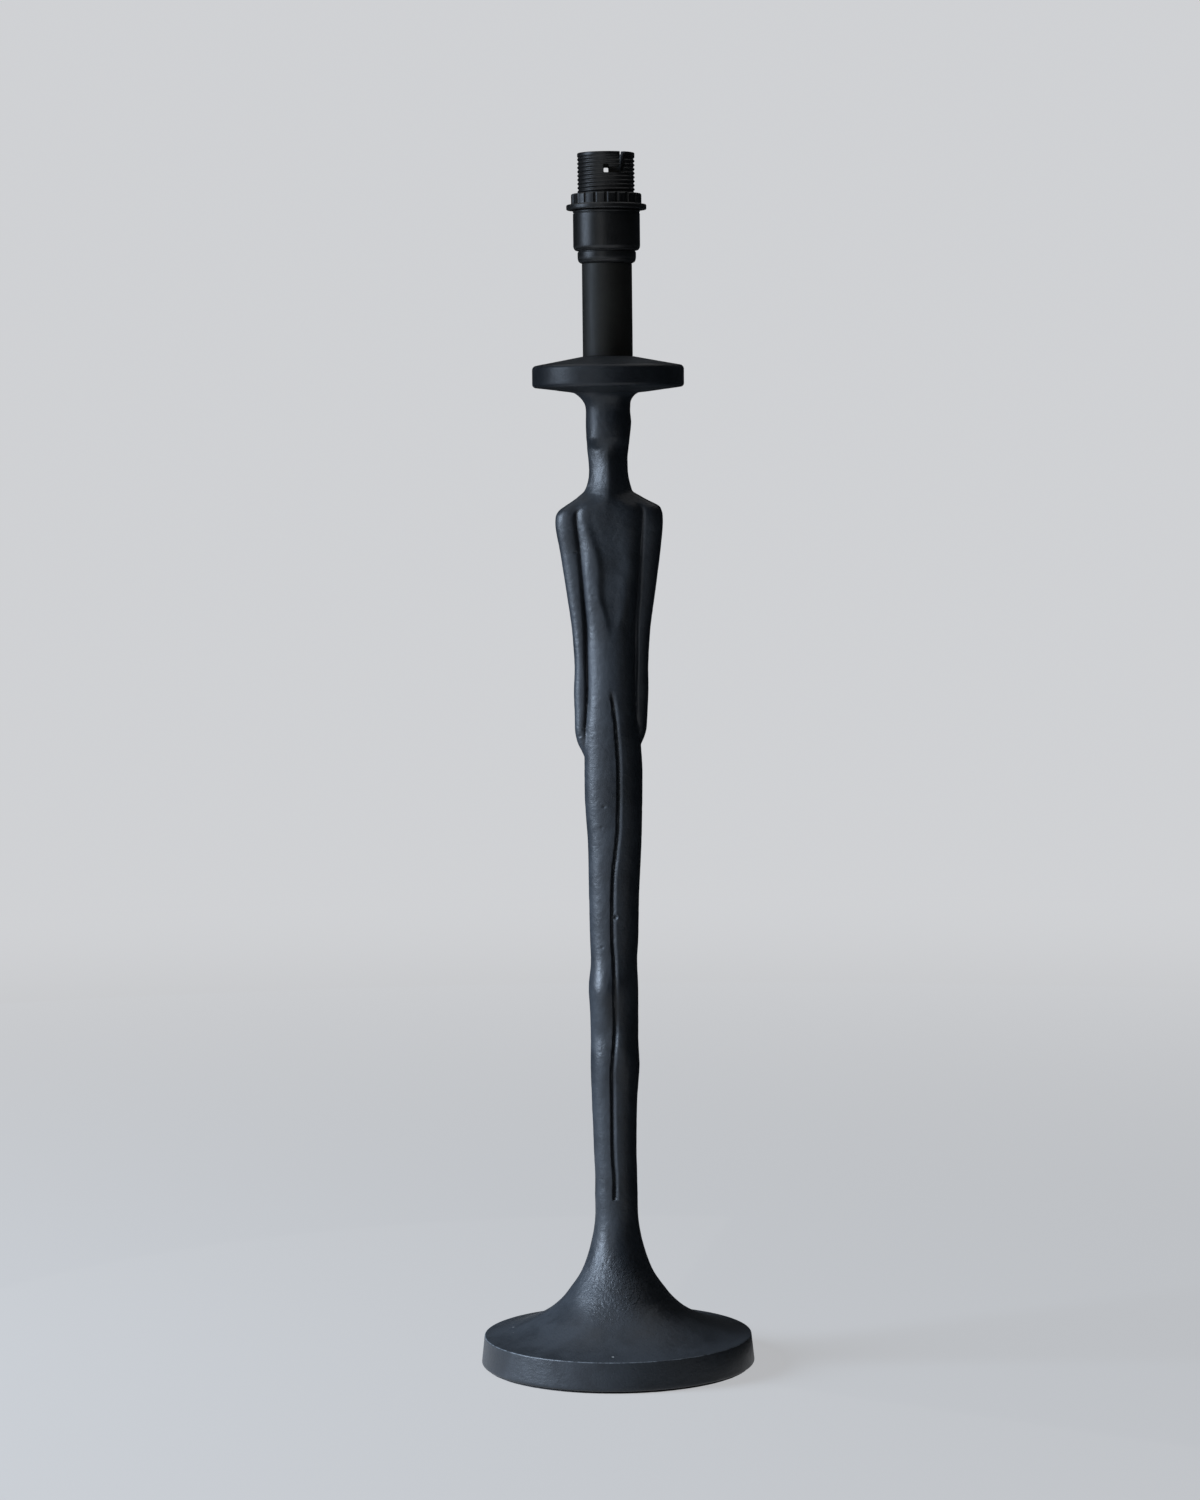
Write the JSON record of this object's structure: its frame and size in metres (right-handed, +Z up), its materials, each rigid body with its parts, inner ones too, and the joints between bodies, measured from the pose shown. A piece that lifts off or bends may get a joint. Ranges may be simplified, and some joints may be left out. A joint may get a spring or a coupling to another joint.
{
  "type": "table lamp base",
  "caption": "Table lamp base: round cast foot, tall slender faceless standing figure, disc, candle tube and bayonet lampholder.",
  "frame": {"origin": "centre of the foot's underside, on the surface that the lamp stands on", "axes": "+Z up along the rod, -Y towards the figure's front, +Y towards the cord inlet, +X to the right seen from the front"},
  "size_m": [0.1386, 0.1386, 0.6112],
  "materials": {
    "black_casting": "matt charcoal-black paint over a rough sand casting",
    "black_tube": "smooth satin black paint",
    "black_lampholder": "satin black",
    "black_plastic": "moulded, matt",
    "zinc_steel": "zinc plated",
    "spring_steel": "bright drawn wire",
    "tinned_brass": "tinned",
    "contact_brass": "turned brass",
    "steatite": "unglazed",
    "brown_insulation": "smooth wire insulation",
    "blue_insulation": "smooth wire insulation",
    "green_yellow_insulation": "smooth wire insulation, green with a yellow stripe",
    "natural_nylon": "translucent white moulding",
    "black_rubber": "matt",
    "black_felt": "pressed felt"
  },
  "bodies": {
    "base": {"figure_casting": "black_casting", "threaded_rod": "zinc_steel", "foot_washer": "zinc_steel", "earth_tag": "tinned_brass", "foot_lock_washer": "zinc_steel", "foot_nut": "zinc_steel", "upper_washer": "zinc_steel", "upper_nut": "zinc_steel", "candle_tube": "black_tube", "tube_bush": "black_plastic", "lampholder_cap": "black_lampholder", "cap_grub_screw": "zinc_steel", "lampholder_barrel": "black_lampholder", "contact_block": "steatite", "terminal_left": "contact_brass", "terminal_right": "contact_brass", "terminal_screws": "contact_brass", "plunger_spring_left": "spring_steel", "plunger_spring_right": "spring_steel", "live_wire": "brown_insulation", "neutral_wire": "blue_insulation", "earth_wire": "green_yellow_insulation", "terminal_block": "natural_nylon", "block_barrels": "contact_brass", "wire_screws": "zinc_steel", "block_fixing_screws": "zinc_steel", "cord_clamp": "natural_nylon", "clamp_screws": "zinc_steel", "cord_inlet_bush": "black_rubber", "bottom_cover": "zinc_steel", "cover_screws": "zinc_steel", "felt_pad": "black_felt"},
    "shade_ring": {"shade_ring": "black_lampholder"},
    "left_plunger": {"plunger_left": "contact_brass"},
    "right_plunger": {"plunger_right": "contact_brass"}
  },
  "joints": [
    {"name": "shade_ring_lift", "type": "slide", "parent": "base", "child": "shade_ring", "axis": [0, 0, 1], "range_m": [0, 0.014]},
    {"name": "left_plunger_press", "type": "slide", "parent": "base", "child": "left_plunger", "axis": [0, 0, 1], "range_m": [-0.0035, 0], "stiffness_N_per_m": 900, "springref_m": 0.004, "deforming": ["plunger_spring_left"]},
    {"name": "right_plunger_press", "type": "slide", "parent": "base", "child": "right_plunger", "axis": [0, 0, 1], "range_m": [-0.0035, 0], "stiffness_N_per_m": 900, "springref_m": 0.004, "deforming": ["plunger_spring_right"]}
  ]
}
